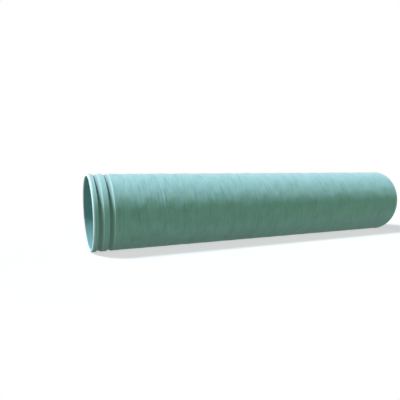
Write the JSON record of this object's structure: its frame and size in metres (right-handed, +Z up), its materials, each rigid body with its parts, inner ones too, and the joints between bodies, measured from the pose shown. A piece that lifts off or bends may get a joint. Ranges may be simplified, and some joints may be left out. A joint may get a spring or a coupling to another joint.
{
  "type": "composite water pipe",
  "caption": "Long glass-fibre reinforced pipe with a plain through bore, a spigot end with sealing-ring grooves and a bevelled plain end.",
  "frame": {"origin": "on the ground, straight below the pipe's axis at mid-length", "axes": "+X along the pipe's axis from the grooved spigot to the plain end, +Z up"},
  "size_m": [6.33, 1.2758, 1.2758],
  "materials": {
    "wound_glass_fibre": "pale grey-green resin over wound glass fibre, semi-gloss, with fine hoop marks"
  },
  "bodies": {
    "root": {"pipe": "wound_glass_fibre"}
  },
  "joints": []
}
